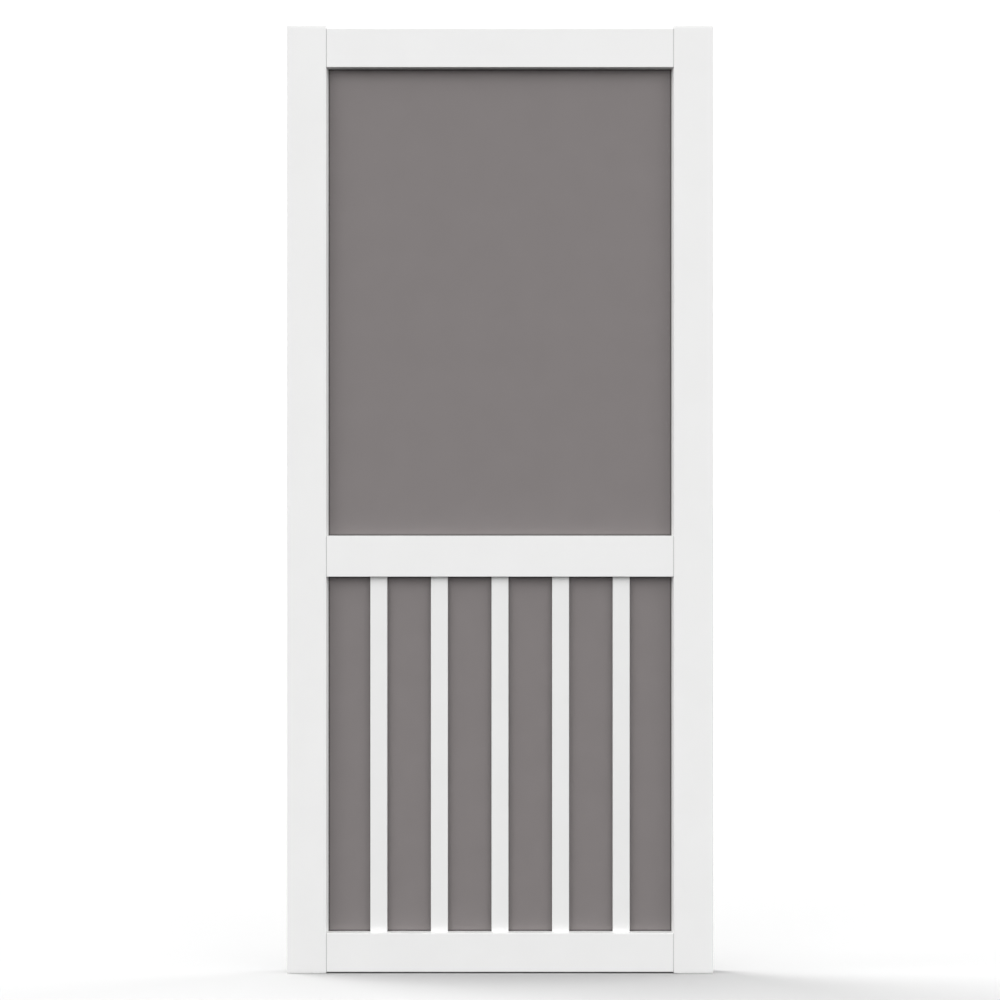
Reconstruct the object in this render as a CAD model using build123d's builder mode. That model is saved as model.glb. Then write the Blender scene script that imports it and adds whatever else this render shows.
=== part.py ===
"""A 36 by 80 inch vinyl screen door leaf with five vertical bars in its lower half.

Two stiles run the full height and carry three rails between them. All five are hollow
extrusions with one kind of section: a flat face, an edge that slopes in towards the opening,
more on the stiles than on the rails, and at the back a rebate whose shoulder holds the spline
groove. The rail ends are coped over the stiles, the bars stand in mortises in the middle and
bottom rails, moulded caps plug the stiles, and each insect screen lies on the shoulders with
its edges tucked into the grooves under a round spline.

Millimetres. X runs across the door from the hinge edge to the latch edge, Y from the front
to the back, Z up. The origin is the centre of the hinge stile's outer edge.
"""

import os

from build123d import *

# Leaf
door_width = 914.4
member_length = 2024.0  # stile extrusions, flush with the outer edges of the rails
thickness = 31.75

# Faces of the members, and how far the opening edge slopes in between face and shoulder
stile_face = 84.5
stile_slope = 3.3
rail_face = 83.5
middle_rail_face = 87.4
rail_slope = 0.4

# Section shared by the stiles and rails
shoulder_depth = 22.0  # from the front face to the shoulder that carries the screen
rebate = 17.0  # width of the recess at the back, around each screen
wall = 2.2
web = 2.0
edge_radius = 2.0
lip_radius = 0.8

# Spline groove in the shoulder
groove_from_edge = 9.0
groove_width = 4.4
groove_depth = 4.6
groove_wall = 1.8

# Middle rail
middle_rail_centre = -120.3

# Bars
bar_count = 5
bar_width = 36.5
bar_depth = 7.6
bar_wall = 1.8
bar_radius = 1.5

# End caps of the stiles
top_cap_height = 5.5
bottom_cap_height = 2.5
cap_inset = 0.3
cap_radius = 1.2
plug_depth = 14.0
plug_wall = 1.6

# Screens
screen_gauge = 0.3
screen_stub = 0.5  # trimmed edge that stands out of the groove

# Clearances
joint_gap = 0.3
mortise_gap = 0.2
plug_gap = 0.25
tuck_gap = 0.05
spline_end_gap = 0.5

# Places that follow from the sizes above
stile_width = stile_face + stile_slope
rail_width = rail_face + rail_slope
middle_rail_half = middle_rail_face / 2 + rail_slope
middle_groove = middle_rail_half - groove_from_edge - groove_width / 2
groove_floor = shoulder_depth - groove_depth
front = -thickness / 2
top = member_length / 2
bottom = -member_length / 2
upper_opening = (middle_rail_centre + middle_rail_half, top - rail_width)
lower_opening = (bottom + rail_width, middle_rail_centre - middle_rail_half)
rail_start = stile_width - rebate + joint_gap
rail_length = door_width - 2 * rail_start
bar_entry = groove_from_edge - groove_wall - 2 * mortise_gap
bar_pitch = (door_width - 2 * stile_face + bar_width) / (bar_count + 1)
bar_middle = front + shoulder_depth - wall - mortise_gap - bar_depth / 2
bar_centres = [
    (stile_face - bar_width / 2 + bar_pitch * (number + 1), bar_middle) for number in range(bar_count)
]

# A section is drawn with its first axis from the outer edge towards the opening and its
# second from the front face to the back. These planes lay it where each member runs.
hinge_stile_plane = Plane(origin=(0, front, bottom), x_dir=(1, 0, 0), z_dir=(0, 0, 1))
latch_stile_plane = Plane(origin=(door_width, front, top), x_dir=(-1, 0, 0), z_dir=(0, 0, -1))
top_rail_plane = Plane(origin=(rail_start, front, top), x_dir=(0, 0, -1), z_dir=(1, 0, 0))
bottom_rail_plane = Plane(
    origin=(door_width - rail_start, front, bottom), x_dir=(0, 0, 1), z_dir=(-1, 0, 0)
)
middle_rail_plane = Plane(
    origin=(door_width - rail_start, front, middle_rail_centre), x_dir=(0, 0, 1), z_dir=(-1, 0, 0)
)

os.makedirs("parts", exist_ok=True)


def edge_outline(face, slope):
    """Outline of a stile or an outer rail, with sharp corners and the spline groove filled."""
    with BuildSketch() as outline:
        with BuildLine():
            Polyline(
                (0, 0),
                (face, 0),
                (face + slope, shoulder_depth),
                (face + slope - rebate, shoulder_depth),
                (face + slope - rebate, thickness),
                (0, thickness),
                close=True,
            )
        make_face()
    return outline.sketch


def edge_chambers(outline, width):
    """Its chambers: two in the body and one in the nose, around the groove."""
    body = width - rebate
    groove_far = width - groove_from_edge - groove_width
    with BuildSketch() as chambers:
        add(outline)
        offset(amount=-wall, kind=Kind.INTERSECTION, mode=Mode.REPLACE)
        with Locations((body / 2, thickness / 2)):
            Rectangle(web, thickness, mode=Mode.SUBTRACT)
        with Locations((body - wall, 0)):
            Rectangle(wall, thickness, align=Align.MIN, mode=Mode.SUBTRACT)
        with Locations((groove_far - groove_wall, groove_floor - groove_wall)):
            Rectangle(groove_width + 2 * groove_wall, thickness, align=Align.MIN, mode=Mode.SUBTRACT)
    return chambers.sketch


def edge_section(outline, chambers, width):
    """The outline with its corners rounded, less the chambers and the spline groove."""
    groove_far = width - groove_from_edge - groove_width
    with BuildSketch() as section:
        add(outline)
        fillet(section.vertices().group_by(Axis.X)[0], edge_radius)
        fillet(section.vertices().group_by(Axis.Y)[0].sort_by(Axis.X)[-1], lip_radius)
        fillet(section.vertices().group_by(Axis.Y)[-1].sort_by(Axis.X)[-1], lip_radius)
        add(chambers, mode=Mode.SUBTRACT)
        with Locations((groove_far, groove_floor)):
            Rectangle(groove_width, thickness, align=Align.MIN, mode=Mode.SUBTRACT)
    return section.sketch


stile_outline = edge_outline(stile_face, stile_slope)
stile_chambers = edge_chambers(stile_outline, stile_width)
stile_section = edge_section(stile_outline, stile_chambers, stile_width)
rail_outline = edge_outline(rail_face, rail_slope)
rail_chambers = edge_chambers(rail_outline, rail_width)
rail_section = edge_section(rail_outline, rail_chambers, rail_width)

# The middle rail has the nose, rebate and groove on both edges, so its section is drawn
# from its centre line outwards
with BuildSketch() as middle_outline:
    with BuildLine():
        Polyline(
            (-middle_rail_face / 2, 0),
            (middle_rail_face / 2, 0),
            (middle_rail_half, shoulder_depth),
            (middle_rail_half - rebate, shoulder_depth),
            (middle_rail_half - rebate, thickness),
            (rebate - middle_rail_half, thickness),
            (rebate - middle_rail_half, shoulder_depth),
            (-middle_rail_half, shoulder_depth),
            close=True,
        )
    make_face()

with BuildSketch() as middle_chambers:
    add(middle_outline.sketch)
    offset(amount=-wall, kind=Kind.INTERSECTION, mode=Mode.REPLACE)
    for side in (-1, 1):
        with Locations((side * (middle_rail_half - rebate - wall / 2), thickness / 2)):
            Rectangle(wall, thickness, mode=Mode.SUBTRACT)
        with Locations((side * middle_groove, groove_floor - groove_wall)):
            Rectangle(
                groove_width + 2 * groove_wall,
                thickness,
                align=(Align.CENTER, Align.MIN),
                mode=Mode.SUBTRACT,
            )

with BuildSketch() as middle_section:
    add(middle_outline.sketch)
    fillet(middle_section.vertices().group_by(Axis.Y)[0], lip_radius)
    fillet(middle_section.vertices().group_by(Axis.Y)[-1], lip_radius)
    add(middle_chambers.sketch, mode=Mode.SUBTRACT)
    for side in (-1, 1):
        with Locations((side * middle_groove, groove_floor)):
            Rectangle(groove_width, thickness, align=(Align.CENTER, Align.MIN), mode=Mode.SUBTRACT)

# What a stile takes out of the end of a rail
with BuildSketch() as cope_outline:
    add(stile_outline)
    offset(amount=joint_gap, kind=Kind.INTERSECTION, mode=Mode.REPLACE)

# Hollow bar, and the mortise that takes it
with BuildSketch() as bar_section:
    RectangleRounded(bar_width, bar_depth, bar_radius)
    Rectangle(bar_width - 2 * bar_wall, bar_depth - 2 * bar_wall, mode=Mode.SUBTRACT)

with BuildSketch() as mortise_section:
    RectangleRounded(
        bar_width + 2 * mortise_gap, bar_depth + 2 * mortise_gap, bar_radius + mortise_gap
    )

# Stiles
with BuildPart() as hinge_stile:
    with BuildSketch(hinge_stile_plane):
        add(stile_section)
    extrude(amount=member_length)

with BuildPart() as latch_stile:
    with BuildSketch(latch_stile_plane):
        add(stile_section)
    extrude(amount=member_length)

# Rails, each coped at both ends to the outline of the stiles
with BuildPart() as top_rail:
    with BuildSketch(top_rail_plane):
        add(rail_section)
    extrude(amount=rail_length)
    with BuildSketch(hinge_stile_plane, latch_stile_plane):
        add(cope_outline.sketch)
    extrude(amount=member_length, mode=Mode.SUBTRACT)

with BuildPart() as middle_rail:
    with BuildSketch(middle_rail_plane):
        add(middle_section.sketch)
    extrude(amount=rail_length)
    with BuildSketch(hinge_stile_plane, latch_stile_plane):
        add(cope_outline.sketch)
    extrude(amount=member_length, mode=Mode.SUBTRACT)
    with BuildSketch(Plane.XY.offset(lower_opening[1])):
        with Locations(bar_centres):
            add(mortise_section.sketch)
    extrude(amount=bar_entry + mortise_gap, mode=Mode.SUBTRACT)

with BuildPart() as bottom_rail:
    with BuildSketch(bottom_rail_plane):
        add(rail_section)
    extrude(amount=rail_length)
    with BuildSketch(hinge_stile_plane, latch_stile_plane):
        add(cope_outline.sketch)
    extrude(amount=member_length, mode=Mode.SUBTRACT)
    with BuildSketch(Plane.XY.offset(lower_opening[0])):
        with Locations(bar_centres):
            add(mortise_section.sketch)
    extrude(amount=-(bar_entry + mortise_gap), mode=Mode.SUBTRACT)

for piece, name in (
    (hinge_stile, "hinge_stile"),
    (latch_stile, "latch_stile"),
    (top_rail, "top_rail"),
    (middle_rail, "middle_rail"),
    (bottom_rail, "bottom_rail"),
):
    piece.part.label = name
    export_step(piece.part, f"parts/{name}.step")

# Bars
for number, centre in enumerate(bar_centres):
    with BuildPart() as bar:
        with BuildSketch(Plane.XY.offset(lower_opening[0] - bar_entry)):
            with Locations(centre):
                add(bar_section.sketch)
        extrude(amount=lower_opening[1] - lower_opening[0] + 2 * bar_entry)
    bar.part.label = f"bar_{number + 1}"
    export_step(bar.part, f"parts/bar_{number + 1}.step")

# End caps: a moulded plate of the stile's outline with a hollow plug in each body chamber
plugs = stile_chambers.faces().sort_by(Axis.X)[:2]

for name, x, x_dir, end, outwards, height in (
    ("hinge_stile_top_cap", 0, (1, 0, 0), top, 1, top_cap_height),
    ("hinge_stile_bottom_cap", 0, (1, 0, 0), bottom, -1, bottom_cap_height),
    ("latch_stile_top_cap", door_width, (-1, 0, 0), top, 1, top_cap_height),
    ("latch_stile_bottom_cap", door_width, (-1, 0, 0), bottom, -1, bottom_cap_height),
):
    cap_plane = Plane(origin=(x, front, end), x_dir=x_dir, z_dir=(0, 0, x_dir[0]))
    outward = outwards * x_dir[0]
    with BuildPart() as cap:
        with BuildSketch(cap_plane):
            add(stile_outline)
            offset(amount=-cap_inset, kind=Kind.INTERSECTION, mode=Mode.REPLACE)
        extrude(amount=outward * height)
        fillet(cap.edges().filter_by(Axis.Z).group_by(Axis.X)[::x_dir[0]][0], edge_radius)
        fillet(cap.faces().filter_by(Plane.XY).sort_by(Axis.Z)[::outwards][-1].edges(), cap_radius)
        with BuildSketch(cap_plane):
            for plug in plugs:
                add(plug)
            offset(amount=-plug_gap, kind=Kind.INTERSECTION, mode=Mode.REPLACE)
            offset(amount=-plug_wall, kind=Kind.INTERSECTION, mode=Mode.SUBTRACT)
        extrude(amount=-outward * plug_depth)
    cap.part.label = name
    export_step(cap.part, f"parts/{name}.step")

# The edge of a screen where it lines a groove, drawn from the opening's edge into the member
tuck_near = -groove_from_edge - tuck_gap
tuck_far = -groove_from_edge - groove_width + tuck_gap
tuck_low = groove_floor + tuck_gap
screen_front = shoulder_depth + tuck_gap

with BuildSketch() as tuck_section:
    with Locations((tuck_near, tuck_low)):
        Rectangle(screen_gauge, screen_front + screen_gauge - tuck_low, align=(Align.MAX, Align.MIN))
    with Locations((tuck_far, tuck_low)):
        Rectangle(tuck_near - tuck_far, screen_gauge, align=Align.MIN)
        Rectangle(screen_gauge, shoulder_depth + screen_stub - tuck_low, align=Align.MIN)

# Screens: one sheet over each opening, tucked into the grooves on all four edges
screen_reach = groove_from_edge + tuck_gap + screen_gauge
screen_width = door_width - 2 * (stile_width - screen_reach)
cross_length = door_width - 2 * (stile_width + spline_end_gap)

for name, (low, high) in (("upper_screen", upper_opening), ("lower_screen", lower_opening)):
    screen_height = high - low + 2 * screen_reach
    middle = (low + high) / 2
    with BuildPart() as screen:
        with BuildSketch(Plane.XZ.offset(-(front + screen_front))):
            with Locations((door_width / 2, middle)):
                Rectangle(screen_width, screen_height)
        extrude(amount=-screen_gauge)
        with BuildSketch(
            Plane(origin=(stile_width, front, middle), x_dir=(1, 0, 0), z_dir=(0, 0, 1)),
            Plane(origin=(door_width - stile_width, front, middle), x_dir=(-1, 0, 0), z_dir=(0, 0, -1)),
        ):
            add(tuck_section.sketch)
        extrude(amount=screen_height / 2, both=True)
        with BuildSketch(
            Plane(origin=(door_width / 2, front, high), x_dir=(0, 0, -1), z_dir=(1, 0, 0)),
            Plane(origin=(door_width / 2, front, low), x_dir=(0, 0, 1), z_dir=(-1, 0, 0)),
        ):
            add(tuck_section.sketch)
        extrude(amount=cross_length / 2, both=True)
    screen.part.label = name
    export_step(screen.part, f"parts/{name}.step")

# Splines, one length in each groove
spline_radius = groove_width / 2 - screen_gauge - 2 * tuck_gap
spline_from_edge = groove_from_edge + groove_width / 2
spline_seat = front + groove_floor + screen_gauge + 2 * tuck_gap + spline_radius

for screen_name, (low, high) in (("upper", upper_opening), ("lower", lower_opening)):
    side_length = high - low + 2 * (spline_from_edge + spline_radius)
    for side, x in (
        ("hinge", stile_width - spline_from_edge),
        ("latch", door_width - stile_width + spline_from_edge),
    ):
        with BuildPart() as side_spline:
            with BuildSketch(Plane.XY.offset((low + high) / 2)):
                with Locations((x, spline_seat)):
                    Circle(spline_radius)
            extrude(amount=side_length / 2, both=True)
        side_spline.part.label = f"{screen_name}_spline_{side}_side"
        export_step(side_spline.part, f"parts/{screen_name}_spline_{side}_side.step")
    for side, z in (("top", high + spline_from_edge), ("bottom", low - spline_from_edge)):
        with BuildPart() as cross_spline:
            with BuildSketch(Plane.YZ.offset(door_width / 2)):
                with Locations((spline_seat, z)):
                    Circle(spline_radius)
            extrude(amount=cross_length / 2, both=True)
        cross_spline.part.label = f"{screen_name}_spline_{side}"
        export_step(cross_spline.part, f"parts/{screen_name}_spline_{side}.step")
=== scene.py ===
import math

import bmesh
import bpy
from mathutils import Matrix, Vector


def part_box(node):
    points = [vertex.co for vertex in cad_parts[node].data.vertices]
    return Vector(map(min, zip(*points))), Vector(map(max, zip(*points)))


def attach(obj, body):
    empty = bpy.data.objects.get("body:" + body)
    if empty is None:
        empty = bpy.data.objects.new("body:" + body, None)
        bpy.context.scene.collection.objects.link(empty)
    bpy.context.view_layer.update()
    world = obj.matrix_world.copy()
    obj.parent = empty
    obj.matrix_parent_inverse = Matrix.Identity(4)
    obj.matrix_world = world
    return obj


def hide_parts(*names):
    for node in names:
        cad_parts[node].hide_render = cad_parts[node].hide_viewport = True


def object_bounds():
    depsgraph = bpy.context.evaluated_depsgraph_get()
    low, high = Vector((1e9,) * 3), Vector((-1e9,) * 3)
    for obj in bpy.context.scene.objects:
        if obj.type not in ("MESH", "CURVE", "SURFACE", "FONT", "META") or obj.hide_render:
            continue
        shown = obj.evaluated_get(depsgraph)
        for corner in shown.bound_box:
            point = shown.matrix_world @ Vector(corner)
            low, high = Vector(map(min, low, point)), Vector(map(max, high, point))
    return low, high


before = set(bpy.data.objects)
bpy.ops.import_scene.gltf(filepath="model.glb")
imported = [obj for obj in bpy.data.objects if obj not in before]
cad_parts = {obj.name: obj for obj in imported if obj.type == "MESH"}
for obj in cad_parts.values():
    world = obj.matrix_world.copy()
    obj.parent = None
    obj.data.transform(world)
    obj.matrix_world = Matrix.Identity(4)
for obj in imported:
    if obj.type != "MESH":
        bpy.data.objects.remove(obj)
cad_low, cad_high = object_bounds()

# The camera stands square to the front of the leaf, level with its middle and far enough off
# that the stiles' inner edges show only as slivers. One pixel is 2.144 mm at the front face.
METRES_PER_PIXEL = 0.002144
PICTURE_PIXELS = 1000
CAMERA_DISTANCE = 4.5
SENSOR_WIDTH_MM = 36.0
CONTACT_LINE_PIXEL = 973.4
door_middle = (cad_low + cad_high) / 2

camera_data = bpy.data.cameras.new("camera")
camera_data.sensor_width = SENSOR_WIDTH_MM
camera_data.lens = SENSOR_WIDTH_MM * CAMERA_DISTANCE / (METRES_PER_PIXEL * PICTURE_PIXELS)
camera = bpy.data.objects.new("camera", camera_data)
camera_height = (CONTACT_LINE_PIXEL - PICTURE_PIXELS / 2) * METRES_PER_PIXEL
camera.location = (door_middle.x, cad_low.y - CAMERA_DISTANCE, cad_low.z + camera_height)
camera.rotation_euler = (math.radians(90), 0, 0)
bpy.context.scene.collection.objects.link(camera)
bpy.context.scene.camera = camera

# Stiles and rails: hollow sections drawn in rigid white vinyl, satin from the die, with faint
# lengthwise die lines and a slightly uneven skin. The rails are coped over the stiles and glued,
# and a hairline of dust sits in each joint.
VINYL_WHITE = (0.83, 0.83, 0.828, 1)
VINYL_SHADE = (0.815, 0.815, 0.812, 1)
SHADE_ENDS = 0.3
WHITE_STARTS = 0.7
CLOUDING_SCALE = 9.0
CLOUDING_DETAIL = 4.0
DIE_LINES_ALONG = 6.0
DIE_LINES_ACROSS = 900.0
DIE_LINE_DETAIL = 2.0
DIE_LINE_RELIEF = 0.25
DIE_LINE_HEIGHT = 0.00004
VINYL_ROUGHNESS_LEAST = 0.45
VINYL_ROUGHNESS_MOST = 0.56
VINYL_SPECULAR = 0.3
STILE_FACE_WIDTH = 0.0845
STILE_BACK_WIDTH = 0.0708
JOINT_DUST_REACH = 0.0012
JOINT_DUST_FADE = 0.0002
JOINT_DUST_SHADE = 0.5


def drawn_vinyl(name, along, white, shade):
    """White vinyl drawn through a die, with its lines along one axis (0 is X, 2 is Z)."""
    material = bpy.data.materials.new(name)
    material.use_nodes = True
    nodes, links = material.node_tree.nodes, material.node_tree.links
    shader = nodes["Principled BSDF"]
    place = nodes.new("ShaderNodeTexCoord")

    stretched = nodes.new("ShaderNodeMapping")
    stretched.inputs["Scale"].default_value = [
        DIE_LINES_ALONG if axis == along else DIE_LINES_ACROSS for axis in range(3)
    ]
    links.new(place.outputs["Object"], stretched.inputs["Vector"])
    die_lines = nodes.new("ShaderNodeTexNoise")
    die_lines.inputs["Scale"].default_value = 1.0
    die_lines.inputs["Detail"].default_value = DIE_LINE_DETAIL
    links.new(stretched.outputs["Vector"], die_lines.inputs["Vector"])

    clouding = nodes.new("ShaderNodeTexNoise")
    clouding.inputs["Scale"].default_value = CLOUDING_SCALE
    clouding.inputs["Detail"].default_value = CLOUDING_DETAIL
    links.new(place.outputs["Object"], clouding.inputs["Vector"])
    tone = nodes.new("ShaderNodeValToRGB")
    tone.color_ramp.elements[0].position = SHADE_ENDS
    tone.color_ramp.elements[0].color = shade
    tone.color_ramp.elements[1].position = WHITE_STARTS
    tone.color_ramp.elements[1].color = white
    links.new(clouding.outputs["Fac"], tone.inputs["Fac"])
    links.new(tone.outputs["Color"], shader.inputs["Base Color"])

    gloss = nodes.new("ShaderNodeMapRange")
    gloss.inputs["To Min"].default_value = VINYL_ROUGHNESS_LEAST
    gloss.inputs["To Max"].default_value = VINYL_ROUGHNESS_MOST
    links.new(die_lines.outputs["Fac"], gloss.inputs["Value"])
    links.new(gloss.outputs["Result"], shader.inputs["Roughness"])

    skin = nodes.new("ShaderNodeBump")
    skin.inputs["Strength"].default_value = DIE_LINE_RELIEF
    skin.inputs["Distance"].default_value = DIE_LINE_HEIGHT
    links.new(die_lines.outputs["Fac"], skin.inputs["Height"])
    links.new(skin.outputs["Normal"], shader.inputs["Normal"])
    shader.inputs["Specular IOR Level"].default_value = VINYL_SPECULAR
    return material


def dusty_joints(material):
    """Darkens a hairline at both ends of a rail, where it meets the stiles in front and behind."""
    nodes, links = material.node_tree.nodes, material.node_tree.links
    base = nodes["Principled BSDF"].inputs["Base Color"]
    clean = base.links[0].from_socket
    place = nodes.new("ShaderNodeTexCoord")
    parts = nodes.new("ShaderNodeSeparateXYZ")
    links.new(place.outputs["Object"], parts.inputs["Vector"])
    off_middle = nodes.new("ShaderNodeMath")
    off_middle.operation = "SUBTRACT"
    links.new(parts.outputs["X"], off_middle.inputs[0])
    off_middle.inputs[1].default_value = door_middle.x
    distance = nodes.new("ShaderNodeMath")
    distance.operation = "ABSOLUTE"
    links.new(off_middle.outputs["Value"], distance.inputs[0])

    behind = nodes.new("ShaderNodeMath")
    behind.operation = "GREATER_THAN"
    links.new(parts.outputs["Y"], behind.inputs[0])
    behind.inputs[1].default_value = door_middle.y
    joint = nodes.new("ShaderNodeMapRange")
    joint.inputs["To Min"].default_value = cad_high.x - STILE_FACE_WIDTH - door_middle.x
    joint.inputs["To Max"].default_value = cad_high.x - STILE_BACK_WIDTH - door_middle.x
    links.new(behind.outputs["Value"], joint.inputs["Value"])
    short_of_joint = nodes.new("ShaderNodeMath")
    short_of_joint.operation = "SUBTRACT"
    links.new(joint.outputs["Result"], short_of_joint.inputs[0])
    links.new(distance.outputs["Value"], short_of_joint.inputs[1])

    dust = nodes.new("ShaderNodeMapRange")
    dust.inputs["From Min"].default_value = JOINT_DUST_REACH - JOINT_DUST_FADE
    dust.inputs["From Max"].default_value = JOINT_DUST_REACH
    dust.inputs["To Min"].default_value = JOINT_DUST_SHADE
    links.new(short_of_joint.outputs["Value"], dust.inputs["Value"])
    dusted = nodes.new("ShaderNodeVectorMath")
    dusted.operation = "SCALE"
    links.new(clean, dusted.inputs["Vector"])
    links.new(dust.outputs["Result"], dusted.inputs["Scale"])
    links.new(dusted.outputs["Vector"], base)


def dress(node, material):
    """Gives a CAD node's object one material."""
    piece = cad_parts[node]
    piece.data.materials.clear()
    piece.data.materials.append(material)
    return piece


stile_vinyl = drawn_vinyl("stile_vinyl", 2, VINYL_WHITE, VINYL_SHADE)
rail_vinyl = drawn_vinyl("rail_vinyl", 0, VINYL_WHITE, VINYL_SHADE)
dusty_joints(rail_vinyl)
for stile in ("hinge_stile", "latch_stile"):
    dress(stile, stile_vinyl)
for rail in ("top_rail", "middle_rail", "bottom_rail"):
    dress(rail, rail_vinyl)

# Bars: thin flat tubes of the same vinyl, cut square and pushed into mortises in the rails.
# They come from another die, so their skin is a shade duller than the frame's.
BAR_WHITE = (0.80, 0.80, 0.797, 1)
BAR_SHADE = (0.785, 0.785, 0.782, 1)

bar_vinyl = drawn_vinyl("bar_vinyl", 2, BAR_WHITE, BAR_SHADE)
for bar in sorted(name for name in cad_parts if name.startswith("bar_")):
    dress(bar, bar_vinyl)

# End caps: injection-moulded plates with plugs, pressed into the stiles' ends. The mould was
# spark-eroded, so they have a fine even grain in place of die lines.
CAP_WHITE = (0.85, 0.85, 0.845, 1)
CAP_SHADE = (0.816, 0.816, 0.8112, 1)
CAP_ROUGHNESS = 0.5
CAP_GRAIN_SCALE = 1500.0
CAP_GRAIN_DETAIL = 1.0
CAP_GRAIN_RELIEF = 0.3
CAP_GRAIN_HEIGHT = 0.00005

cap_plastic = bpy.data.materials.new("cap_plastic")
cap_plastic.use_nodes = True
cap_nodes, cap_links = cap_plastic.node_tree.nodes, cap_plastic.node_tree.links
cap_shader = cap_nodes["Principled BSDF"]
cap_place = cap_nodes.new("ShaderNodeTexCoord")
cap_grain = cap_nodes.new("ShaderNodeTexNoise")
cap_grain.inputs["Scale"].default_value = CAP_GRAIN_SCALE
cap_grain.inputs["Detail"].default_value = CAP_GRAIN_DETAIL
cap_links.new(cap_place.outputs["Object"], cap_grain.inputs["Vector"])
cap_tone = cap_nodes.new("ShaderNodeMixRGB")
cap_tone.inputs["Color1"].default_value = CAP_WHITE
cap_tone.inputs["Color2"].default_value = CAP_SHADE
cap_links.new(cap_grain.outputs["Fac"], cap_tone.inputs["Fac"])
cap_links.new(cap_tone.outputs["Color"], cap_shader.inputs["Base Color"])
cap_bump = cap_nodes.new("ShaderNodeBump")
cap_bump.inputs["Strength"].default_value = CAP_GRAIN_RELIEF
cap_bump.inputs["Distance"].default_value = CAP_GRAIN_HEIGHT
cap_links.new(cap_grain.outputs["Fac"], cap_bump.inputs["Height"])
cap_links.new(cap_bump.outputs["Normal"], cap_shader.inputs["Normal"])
cap_shader.inputs["Roughness"].default_value = CAP_ROUGHNESS
for cap in sorted(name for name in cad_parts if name.endswith("_cap")):
    dress(cap, cap_plastic)

# Insect screens: flat vinyl-coated glass yarns laid so close that the cloth looks solid from a
# few steps away. The cut edges line the spline grooves in the backs of the stiles and rails.
# Painted shade darkens the cloth along its opening's edges and in the hollows between crossing
# yarns.
YARN_PITCH = 0.0010
YARN_WIDTH = 0.00096
CLOTH_GAUGE = 0.0003
YARN_SIDES = 8
YARN_TONE = (0.205, 0.187, 0.186, 1)
YARN_TONE_WORN = (0.225, 0.206, 0.205, 1)
WEAR_SCALE = 14.0
WEAR_DETAIL = 5.0
# Painted shade in the weave's hollows: the darkest tone where the yarns dip.
PAINTED_HOLLOW_SHADE = 0.94
RIDGE_RELIEF = 0.15
RIDGE_HEIGHT = 0.00003
YARN_ROUGHNESS = 0.72
YARN_SPECULAR = 0.25
SHOULDER_DEPTH = 0.022
TUCK_GAP = 0.00005
ROLL_WIDTH = 0.0043
GROOVE_FROM_OPENING = 0.009
# Painted shade along the cloth's opening: how far it reaches and how dark it is at the edge.
PAINTED_EDGE_SHADE_REACH = 0.005
PAINTED_EDGE_SHADE = 0.25


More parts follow.
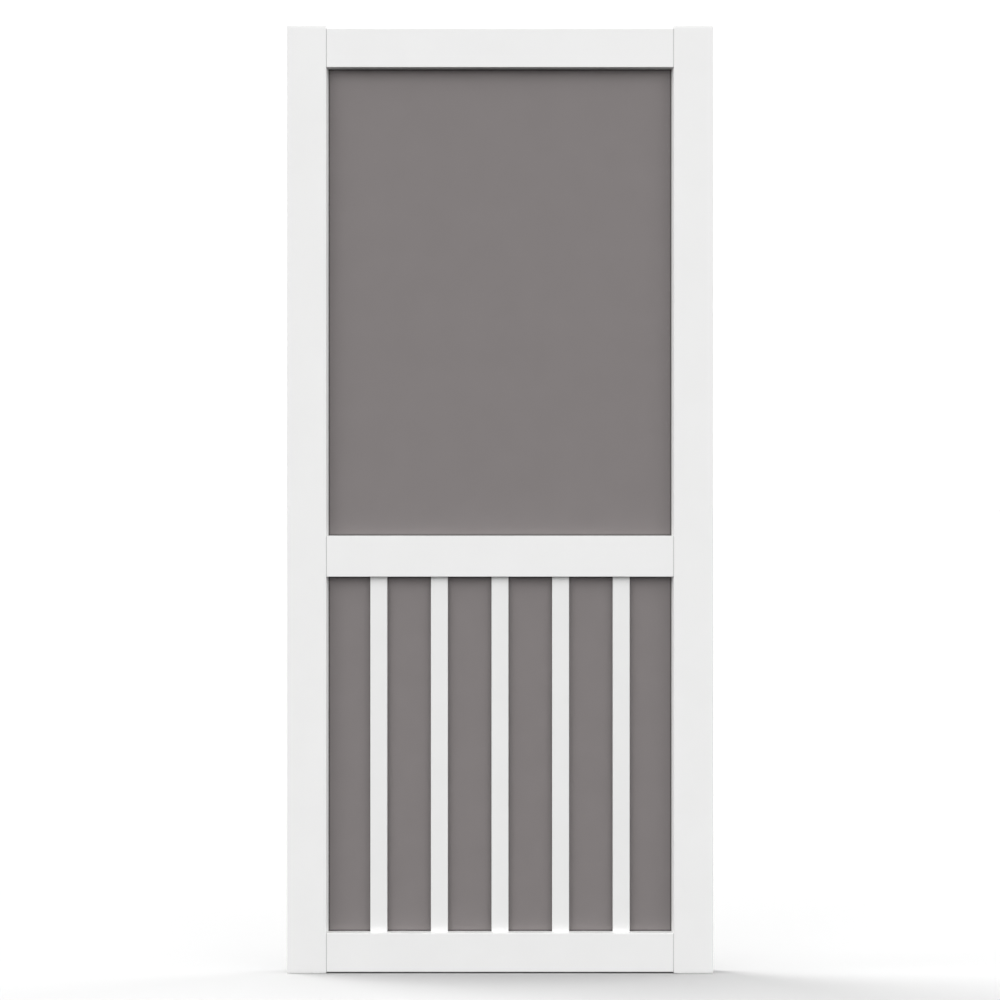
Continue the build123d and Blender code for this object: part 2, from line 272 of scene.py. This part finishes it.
def yarn_material(name, opening_low, opening_high):
    """Warm grey coated yarn, matt, ridged where yarns cross, with painted shade in the weave's
    hollows and round its opening.
    """
    material = bpy.data.materials.new(name)
    material.use_nodes = True
    nodes, links = material.node_tree.nodes, material.node_tree.links
    shader = nodes["Principled BSDF"]
    place = nodes.new("ShaderNodeTexCoord")
    parts = nodes.new("ShaderNodeSeparateXYZ")
    links.new(place.outputs["Object"], parts.inputs["Vector"])

    waves = []
    for axis in ("X", "Z"):
        turn = nodes.new("ShaderNodeMath")
        turn.operation = "MULTIPLY"
        turn.inputs[1].default_value = math.pi / YARN_PITCH
        links.new(parts.outputs[axis], turn.inputs[0])
        wave = nodes.new("ShaderNodeMath")
        wave.operation = "SINE"
        links.new(turn.outputs["Value"], wave.inputs[0])
        waves.append(wave)
    crossing = nodes.new("ShaderNodeMath")
    crossing.operation = "MULTIPLY"
    links.new(waves[0].outputs["Value"], crossing.inputs[0])
    links.new(waves[1].outputs["Value"], crossing.inputs[1])

    wear = nodes.new("ShaderNodeTexNoise")
    wear.inputs["Scale"].default_value = WEAR_SCALE
    wear.inputs["Detail"].default_value = WEAR_DETAIL
    links.new(place.outputs["Object"], wear.inputs["Vector"])
    tone = nodes.new("ShaderNodeMixRGB")
    tone.inputs["Color1"].default_value = YARN_TONE
    tone.inputs["Color2"].default_value = YARN_TONE_WORN
    links.new(wear.outputs["Fac"], tone.inputs["Fac"])
    # Painted shade: the tone is darker where the crossing pattern's bump is lowest, in the weave's
    # hollows.
    painted_hollows = nodes.new("ShaderNodeMapRange")
    painted_hollows.inputs["From Min"].default_value = -1.0
    painted_hollows.inputs["To Min"].default_value = PAINTED_HOLLOW_SHADE
    links.new(crossing.outputs["Value"], painted_hollows.inputs["Value"])
    shaded = nodes.new("ShaderNodeVectorMath")
    shaded.operation = "SCALE"
    links.new(tone.outputs["Color"], shaded.inputs["Vector"])
    links.new(painted_hollows.outputs["Result"], shaded.inputs["Scale"])

    gaps = []
    for axis, low_side, high_side in (
        ("X", opening_low.x, opening_high.x),
        ("Z", opening_low.z, opening_high.z),
    ):
        for side in (low_side, high_side):
            off_side = nodes.new("ShaderNodeMath")
            off_side.operation = "SUBTRACT"
            links.new(parts.outputs[axis], off_side.inputs[0])
            off_side.inputs[1].default_value = side
            gap = nodes.new("ShaderNodeMath")
            gap.operation = "ABSOLUTE"
            links.new(off_side.outputs["Value"], gap.inputs[0])
            gaps.append(gap.outputs["Value"])
    nearest = gaps[0]
    for gap in gaps[1:]:
        nearer = nodes.new("ShaderNodeMath")
        nearer.operation = "MINIMUM"
        links.new(nearest, nearer.inputs[0])
        links.new(gap, nearer.inputs[1])
        nearest = nearer.outputs["Value"]
    # Painted shade: the cloth darkens within a few millimetres of its opening's edges, where the
    # frame's walls shade it.
    painted_edge_shade = nodes.new("ShaderNodeMapRange")
    painted_edge_shade.interpolation_type = "SMOOTHSTEP"
    painted_edge_shade.inputs["From Max"].default_value = PAINTED_EDGE_SHADE_REACH
    painted_edge_shade.inputs["To Min"].default_value = PAINTED_EDGE_SHADE
    links.new(nearest, painted_edge_shade.inputs["Value"])
    edge_shaded = nodes.new("ShaderNodeVectorMath")
    edge_shaded.operation = "SCALE"
    links.new(shaded.outputs["Vector"], edge_shaded.inputs["Vector"])
    links.new(painted_edge_shade.outputs["Result"], edge_shaded.inputs["Scale"])
    links.new(edge_shaded.outputs["Vector"], shader.inputs["Base Color"])

    ridge = nodes.new("ShaderNodeBump")
    ridge.inputs["Strength"].default_value = RIDGE_RELIEF
    ridge.inputs["Distance"].default_value = RIDGE_HEIGHT
    links.new(crossing.outputs["Value"], ridge.inputs["Height"])
    links.new(ridge.outputs["Normal"], shader.inputs["Normal"])
    shader.inputs["Roughness"].default_value = YARN_ROUGHNESS
    shader.inputs["Specular IOR Level"].default_value = YARN_SPECULAR
    return material


def yarn_field_tree():
    """Geometry Nodes: one yarn, a unit cylinder scaled flat, laid many times side by side."""
    tree = bpy.data.node_groups.new("yarn_field", "GeometryNodeTree")
    tree.is_modifier = True
    face = tree.interface
    face.new_socket("Geometry", in_out="INPUT", socket_type="NodeSocketGeometry")
    for name, kind in (
        ("Yarn Size", "NodeSocketVector"),
        ("Turn", "NodeSocketVector"),
        ("First Yarn", "NodeSocketVector"),
        ("Step", "NodeSocketVector"),
        ("Yarn Count", "NodeSocketInt"),
        ("Sides", "NodeSocketInt"),
        ("Material", "NodeSocketMaterial"),
    ):
        face.new_socket(name, in_out="INPUT", socket_type=kind)
    face.new_socket("Geometry", in_out="OUTPUT", socket_type="NodeSocketGeometry")
    nodes, links = tree.nodes, tree.links
    given = nodes.new("NodeGroupInput")
    made = nodes.new("NodeGroupOutput")

    yarn = nodes.new("GeometryNodeMeshCylinder")
    yarn.inputs["Radius"].default_value = 0.5
    yarn.inputs["Depth"].default_value = 1.0
    links.new(given.outputs["Sides"], yarn.inputs["Vertices"])
    flattened = nodes.new("GeometryNodeTransform")
    links.new(yarn.outputs["Mesh"], flattened.inputs["Geometry"])
    links.new(given.outputs["Yarn Size"], flattened.inputs["Scale"])
    turned = nodes.new("GeometryNodeTransform")
    links.new(flattened.outputs["Geometry"], turned.inputs["Geometry"])
    links.new(given.outputs["Turn"], turned.inputs["Rotation"])

    places = nodes.new("GeometryNodeMeshLine")
    links.new(given.outputs["Yarn Count"], places.inputs["Count"])
    links.new(given.outputs["First Yarn"], places.inputs["Start Location"])
    links.new(given.outputs["Step"], places.inputs["Offset"])
    laid = nodes.new("GeometryNodeInstanceOnPoints")
    links.new(places.outputs["Mesh"], laid.inputs["Points"])
    links.new(turned.outputs["Geometry"], laid.inputs["Instance"])
    real = nodes.new("GeometryNodeRealizeInstances")
    links.new(laid.outputs["Instances"], real.inputs["Geometry"])
    coated = nodes.new("GeometryNodeSetMaterial")
    links.new(real.outputs["Geometry"], coated.inputs["Geometry"])
    links.new(given.outputs["Material"], coated.inputs["Material"])
    links.new(coated.outputs["Geometry"], made.inputs["Geometry"])
    return tree


def grown(name, tree, values):
    """The plain mesh that a Geometry Nodes tree makes from named values."""
    seed = bpy.data.objects.new(name, bpy.data.meshes.new(name))
    bpy.context.scene.collection.objects.link(seed)
    modifier = seed.modifiers.new("make", "NODES")
    modifier.node_group = tree
    for item in tree.interface.items_tree:
        if item.in_out == "INPUT" and item.name in values:
            modifier[item.identifier] = values[item.name]
    depsgraph = bpy.context.evaluated_depsgraph_get()
    mesh = bpy.data.meshes.new_from_object(seed.evaluated_get(depsgraph))
    seed.modifiers.remove(modifier)
    bpy.data.objects.remove(seed)
    mesh.name = name
    return mesh


def joined(name, meshes, material):
    """One piece made of several meshes, at the origin."""
    whole = bmesh.new()
    for mesh in meshes:
        whole.from_mesh(mesh)
        bpy.data.meshes.remove(mesh)
    mesh = bpy.data.meshes.new(name)
    whole.to_mesh(mesh)
    whole.free()
    mesh.materials.append(material)
    for polygon in mesh.polygons:
        polygon.material_index = 0
    piece = bpy.data.objects.new(name, mesh)
    bpy.context.scene.collection.objects.link(piece)
    return piece


def rolled_edge(axis, run, near, far, floor, brim):
    """The strip of cloth that lines one groove: two walls and a floor, as one closed mesh.

    It runs along axis (0 is X, 2 is Z) over run. near and far are its outer faces beside the
    opening and away from it, and floor and brim its depths at the bottom and at the cut edge.
    """
    across = 2 - axis
    inward = math.copysign(CLOTH_GAUGE, far - near)
    outline = (
        (near, brim),
        (near, floor),
        (far, floor),
        (far, brim),
        (far - inward, brim),
        (far - inward, floor + CLOTH_GAUGE),
        (near + inward, floor + CLOTH_GAUGE),
        (near + inward, brim),
    )
    strip = bmesh.new()
    rings = []
    for place in run:
        ring = []
        for offset, depth in outline:
            spot = [0.0, depth, 0.0]
            spot[axis] = place
            spot[across] = offset
            ring.append(strip.verts.new(spot))
        rings.append(ring)
    for here in range(len(outline)):
        ahead = (here + 1) % len(outline)
        strip.faces.new((rings[0][here], rings[0][ahead], rings[1][ahead], rings[1][here]))
    for ring in rings:
        strip.faces.new(ring)
    bmesh.ops.recalc_face_normals(strip, faces=strip.faces)
    mesh = bpy.data.meshes.new("rolled_edge")
    strip.to_mesh(mesh)
    strip.free()
    return mesh


yarn_field = yarn_field_tree()
yarn_thickness = CLOTH_GAUGE / 2
for opening in ("upper", "lower"):
    node = opening + "_screen"
    low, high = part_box(node)
    cloth_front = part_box("top_rail")[0].y + SHOULDER_DEPTH + TUCK_GAP
    near_low, near_high = low.x + ROLL_WIDTH, high.x - ROLL_WIDTH
    under, over = low.z + ROLL_WIDTH, high.z - ROLL_WIDTH
    width, height = near_high - near_low, over - under
    screen_yarn = yarn_material(
        node + "_yarn",
        Vector((near_low + GROOVE_FROM_OPENING, low.y, under + GROOVE_FROM_OPENING)),
        Vector((near_high - GROOVE_FROM_OPENING, high.y, over - GROOVE_FROM_OPENING)),
    )
    middle = (low + high) / 2
    upright_count = round(width / YARN_PITCH)
    cross_count = round(height / YARN_PITCH)
    uprights = grown(
        node + "_uprights",
        yarn_field,
        {
            "Yarn Size": (YARN_WIDTH, yarn_thickness, height),
            "Turn": (0.0, 0.0, 0.0),
            "First Yarn": (
                middle.x - (upright_count - 1) * YARN_PITCH / 2,
                cloth_front + yarn_thickness / 2,
                middle.z,
            ),
            "Step": (YARN_PITCH, 0.0, 0.0),
            "Yarn Count": upright_count,
            "Sides": YARN_SIDES,
            "Material": screen_yarn,
        },
    )
    crosses = grown(
        node + "_crosses",
        yarn_field,
        {
            "Yarn Size": (YARN_WIDTH, yarn_thickness, width),
            "Turn": (0.0, math.pi / 2, 0.0),
            "First Yarn": (
                middle.x,
                cloth_front + yarn_thickness + yarn_thickness / 2,
                middle.z - (cross_count - 1) * YARN_PITCH / 2,
            ),
            "Step": (0.0, 0.0, YARN_PITCH),
            "Yarn Count": cross_count,
            "Sides": YARN_SIDES,
            "Material": screen_yarn,
        },
    )
    edges = []
    for spline, near, far in (
        ("hinge_side", near_low, low.x),
        ("latch_side", near_high, high.x),
        ("top", over, high.z),
        ("bottom", under, low.z),
    ):
        first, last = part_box(opening + "_spline_" + spline)
        axis = 0 if spline in ("top", "bottom") else 2
        edges.append(rolled_edge(axis, (first[axis], last[axis]), near, far, low.y, high.y))
    upright_cloth = joined(node + "_upright_yarns", [uprights, *edges], screen_yarn)
    cross_cloth = joined(node + "_cross_yarns", [crosses], screen_yarn)
    for cloth in (upright_cloth, cross_cloth):
        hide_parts(node)
        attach(cloth, "root")

# Splines: soft vinyl cords, one length a side, rolled into the grooves over the cloth. Ridges
# run round each cord, so that the roller's wheel drives it home and it grips the groove.
RIB_PITCH = 0.002
RIB_HEIGHT = 0.00022
STEPS_A_RIB = 4
CORD_SIDES = 10
CORD_TONE = (0.035, 0.034, 0.034, 1)
CORD_TONE_DUSTY = (0.075, 0.073, 0.071, 1)
CORD_DUST_SCALE = 160.0
CORD_DUST_DETAIL = 4.0
CORD_GRAIN_SCALE = 2500.0
CORD_GRAIN_RELIEF = 0.3
CORD_GRAIN_HEIGHT = 0.00003
CORD_ROUGHNESS = 0.6


def cord_material():
    """Near-black soft vinyl with a little dust, matt, with a faint grain from its die."""
    material = bpy.data.materials.new("spline_cord")
    material.use_nodes = True
    nodes, links = material.node_tree.nodes, material.node_tree.links
    shader = nodes["Principled BSDF"]
    place = nodes.new("ShaderNodeTexCoord")
    dust = nodes.new("ShaderNodeTexNoise")
    dust.inputs["Scale"].default_value = CORD_DUST_SCALE
    dust.inputs["Detail"].default_value = CORD_DUST_DETAIL
    links.new(place.outputs["Object"], dust.inputs["Vector"])
    tone = nodes.new("ShaderNodeMixRGB")
    tone.inputs["Color1"].default_value = CORD_TONE
    tone.inputs["Color2"].default_value = CORD_TONE_DUSTY
    links.new(dust.outputs["Fac"], tone.inputs["Fac"])
    links.new(tone.outputs["Color"], shader.inputs["Base Color"])
    grain = nodes.new("ShaderNodeTexNoise")
    grain.inputs["Scale"].default_value = CORD_GRAIN_SCALE
    links.new(place.outputs["Object"], grain.inputs["Vector"])
    skin = nodes.new("ShaderNodeBump")
    skin.inputs["Strength"].default_value = CORD_GRAIN_RELIEF
    skin.inputs["Distance"].default_value = CORD_GRAIN_HEIGHT
    links.new(grain.outputs["Fac"], skin.inputs["Height"])
    links.new(skin.outputs["Normal"], shader.inputs["Normal"])
    shader.inputs["Roughness"].default_value = CORD_ROUGHNESS
    return material


def ribbed_cord_tree():
    """Geometry Nodes: a straight cord whose radius rises and falls along its length."""
    tree = bpy.data.node_groups.new("ribbed_cord", "GeometryNodeTree")
    tree.is_modifier = True
    face = tree.interface
    face.new_socket("Geometry", in_out="INPUT", socket_type="NodeSocketGeometry")
    for name, kind in (
        ("Start", "NodeSocketVector"),
        ("End", "NodeSocketVector"),
        ("Point Count", "NodeSocketInt"),
        ("Turn A Step", "NodeSocketFloat"),
        ("Radius", "NodeSocketFloat"),
        ("Rib Height", "NodeSocketFloat"),
        ("Sides", "NodeSocketInt"),
        ("Material", "NodeSocketMaterial"),
    ):
        face.new_socket(name, in_out="INPUT", socket_type=kind)
    face.new_socket("Geometry", in_out="OUTPUT", socket_type="NodeSocketGeometry")
    nodes, links = tree.nodes, tree.links
    given = nodes.new("NodeGroupInput")
    made = nodes.new("NodeGroupOutput")

    line = nodes.new("GeometryNodeCurvePrimitiveLine")
    links.new(given.outputs["Start"], line.inputs["Start"])
    links.new(given.outputs["End"], line.inputs["End"])
    stepped = nodes.new("GeometryNodeResampleCurve")
    links.new(line.outputs["Curve"], stepped.inputs["Curve"])
    links.new(given.outputs["Point Count"], stepped.inputs["Count"])

    index = nodes.new("GeometryNodeInputIndex")
    angle = nodes.new("ShaderNodeMath")
    angle.operation = "MULTIPLY"
    links.new(index.outputs["Index"], angle.inputs[0])
    links.new(given.outputs["Turn A Step"], angle.inputs[1])
    swell = nodes.new("ShaderNodeMath")
    swell.operation = "COSINE"
    links.new(angle.outputs["Value"], swell.inputs[0])
    dip = nodes.new("ShaderNodeMapRange")
    dip.inputs["From Min"].default_value = 1.0
    dip.inputs["From Max"].default_value = -1.0
    links.new(swell.outputs["Value"], dip.inputs["Value"])
    links.new(given.outputs["Rib Height"], dip.inputs["To Max"])
    radius = nodes.new("ShaderNodeMath")
    radius.operation = "SUBTRACT"
    links.new(given.outputs["Radius"], radius.inputs[0])
    links.new(dip.outputs["Result"], radius.inputs[1])

    section = nodes.new("GeometryNodeCurvePrimitiveCircle")
    section.inputs["Radius"].default_value = 1.0
    links.new(given.outputs["Sides"], section.inputs["Resolution"])
    swept = nodes.new("GeometryNodeCurveToMesh")
    swept.inputs["Fill Caps"].default_value = True
    links.new(stepped.outputs["Curve"], swept.inputs["Curve"])
    links.new(section.outputs["Curve"], swept.inputs["Profile Curve"])
    links.new(radius.outputs["Value"], swept.inputs["Scale"])
    real = nodes.new("GeometryNodeRealizeInstances")
    links.new(swept.outputs["Mesh"], real.inputs["Geometry"])
    coated = nodes.new("GeometryNodeSetMaterial")
    links.new(real.outputs["Geometry"], coated.inputs["Geometry"])
    links.new(given.outputs["Material"], coated.inputs["Material"])
    links.new(coated.outputs["Geometry"], made.inputs["Geometry"])
    return tree


spline_cord = cord_material()
ribbed_cord = ribbed_cord_tree()
for node in sorted(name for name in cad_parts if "_spline_" in name):
    low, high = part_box(node)
    middle, size = (low + high) / 2, high - low
    axis = 0 if size.x > size.z else 2
    start, end = middle.copy(), middle.copy()
    start[axis], end[axis] = low[axis], high[axis]
    rib_count = round(size[axis] / RIB_PITCH)
    cord_mesh = grown(
        node + "_cord",
        ribbed_cord,
        {
            "Start": start,
            "End": end,
            "Point Count": rib_count * STEPS_A_RIB + 1,
            "Turn A Step": 2 * math.pi / STEPS_A_RIB,
            "Radius": size.y / 2,
            "Rib Height": RIB_HEIGHT,
            "Sides": CORD_SIDES,
            "Material": spline_cord,
        },
    )
    cord = joined(node + "_cord", [cord_mesh], spline_cord)
    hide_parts(node)
    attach(cord, "root")

# Floor, sky and lamps: a white studio. The floor and the sky are white to the camera, but the
# floor throws almost no light up at the door. Of the wide soft lamps, four light the floor
# alone, to shape the door's shadow, and one lights all but the floor.
FLOOR_TONE_TO_CAMERA = 0.3
FLOOR_TONE_TO_DOOR = 0.018
FLOOR_REACH = 300.0
SKY_LEVEL = 0.25
SKY_LEVEL_TO_CAMERA = 1.2
# Each lamp's name, strength, spread in degrees, the side it stands on, and what it lights.
SOFT_LAMPS = (
    ("left_lamp", 1.31, 60, (-1.0, -0.45, 0.55), "all"),
    ("right_lamp", 1.16, 60, (1.0, -0.45, 0.55), "all"),
    ("front_left_lamp", 1.4, 60, (-0.8, -1.0, 0.5), "all"),
    ("front_right_lamp", 1.28, 60, (0.8, -1.0, 0.5), "all"),
    ("back_lamp", 1.15, 60, (0.1, 0.9, 1.0), "all"),
    ("back_right_lamp", 1.05, 60, (0.7, 0.8, 0.9), "all but the floor"),
    ("floor_left_lamp", 4.51, 40, (-1.0, 0.1, 0.5), "floor"),
    ("floor_left_back_lamp", 4.68, 40, (-1.0, 0.33, 1.0), "floor"),
    ("floor_right_lamp", 3.98, 40, (1.0, 0.1, 0.5), "floor"),
    ("floor_right_back_lamp", 0.73, 40, (1.0, 0.33, 0.5), "floor"),
)

floor_mesh = bpy.data.meshes.new("floor")
floor_mesh.from_pydata(
    [
        (-FLOOR_REACH, -FLOOR_REACH, cad_low.z),
        (FLOOR_REACH, -FLOOR_REACH, cad_low.z),
        (FLOOR_REACH, FLOOR_REACH, cad_low.z),
        (-FLOOR_REACH, FLOOR_REACH, cad_low.z),
    ],
    [],
    [(0, 1, 2, 3)],
)
floor = bpy.data.objects.new("floor", floor_mesh)
bpy.context.scene.collection.objects.link(floor)


def seen_straight(nodes, links):
    """One where a ray comes from the camera, a glossy reflection or through glass, else zero."""
    ray = nodes.new("ShaderNodeLightPath")
    seen = nodes.new("ShaderNodeMath")
    seen.operation = "MAXIMUM"
    links.new(ray.outputs["Is Camera Ray"], seen.inputs[0])
    links.new(ray.outputs["Is Transmission Ray"], seen.inputs[1])
    also = nodes.new("ShaderNodeMath")
    also.operation = "MAXIMUM"
    links.new(seen.outputs["Value"], also.inputs[0])
    links.new(ray.outputs["Is Glossy Ray"], also.inputs[1])
    return also.outputs["Value"]


floor_paint = bpy.data.materials.new("floor_paint")
floor_paint.use_nodes = True
floor_nodes, floor_links = floor_paint.node_tree.nodes, floor_paint.node_tree.links
floor_nodes.clear()
floor_out = floor_nodes.new("ShaderNodeOutputMaterial")
floor_diffuse = floor_nodes.new("ShaderNodeBsdfDiffuse")
floor_tone = floor_nodes.new("ShaderNodeMix")
floor_tone.data_type = "FLOAT"
floor_tone.inputs["A"].default_value = FLOOR_TONE_TO_DOOR
floor_tone.inputs["B"].default_value = FLOOR_TONE_TO_CAMERA
floor_links.new(seen_straight(floor_nodes, floor_links), floor_tone.inputs["Factor"])
floor_links.new(floor_tone.outputs["Result"], floor_diffuse.inputs["Color"])
floor_links.new(floor_diffuse.outputs["BSDF"], floor_out.inputs["Surface"])
floor_mesh.materials.append(floor_paint)

world = bpy.data.worlds.new("studio")
world.use_nodes = True
bpy.context.scene.world = world
sky_nodes, sky_links = world.node_tree.nodes, world.node_tree.links
sky = sky_nodes["Background"]
sky.inputs["Color"].default_value = (1, 1, 1, 1)
sky_level = sky_nodes.new("ShaderNodeMix")
sky_level.data_type = "FLOAT"
sky_level.inputs["A"].default_value = SKY_LEVEL
sky_level.inputs["B"].default_value = SKY_LEVEL_TO_CAMERA
sky_links.new(seen_straight(sky_nodes, sky_links), sky_level.inputs["Factor"])
sky_links.new(sky_level.outputs["Result"], sky.inputs["Strength"])

# Both collections hold the floor alone: the first lets a lamp reach only the floor, and the
# second leaves only the floor out.
receivers = {}
for lit, state in (("floor", "INCLUDE"), ("all but the floor", "EXCLUDE")):
    receivers[lit] = bpy.data.collections.new(lit)
    receivers[lit].objects.link(floor)
    receivers[lit].collection_objects[0].light_linking.link_state = state
for name, strength, spread, heading, lit in SOFT_LAMPS:
    lamp_data = bpy.data.lights.new(name, "SUN")
    lamp_data.energy = strength
    lamp_data.angle = math.radians(spread)
    lamp = bpy.data.objects.new(name, lamp_data)
    lamp.rotation_euler = Vector(heading).to_track_quat("Z", "Y").to_euler()
    bpy.context.scene.collection.objects.link(lamp)
    if lit in receivers:
        lamp.light_linking.receiver_collection = receivers[lit]

bpy.context.scene.view_settings.view_transform = "Standard"
